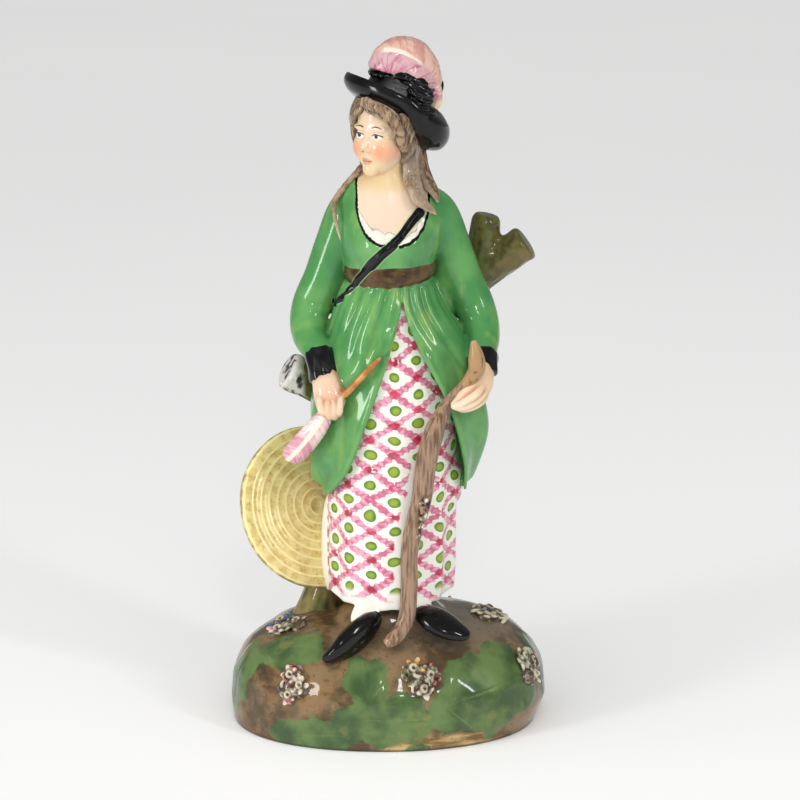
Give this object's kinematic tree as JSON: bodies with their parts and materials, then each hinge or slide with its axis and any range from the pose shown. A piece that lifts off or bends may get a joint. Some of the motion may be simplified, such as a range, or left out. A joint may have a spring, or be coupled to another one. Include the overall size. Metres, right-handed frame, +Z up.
{
  "type": "pearlware figure",
  "caption": "Glazed earthenware figure of a standing lady archer with bow, arrow and straw target beside a tree stump, on a mound base with sprigged flowers.",
  "frame": {"origin": "on the ground under the middle of the mound base, midway between the figure's outermost sides", "axes": "+Z up towards the plume, the lady faces -Y, her right arm and the target are towards -X"},
  "size_m": [0.1079, 0.0778, 0.2351],
  "materials": {
    "glazed_pearlware": "white earthenware painted in green, pink, brown and black under a glossy lead glaze"
  },
  "bodies": {
    "root": {"archer_figure": "glazed_pearlware"}
  },
  "joints": []
}
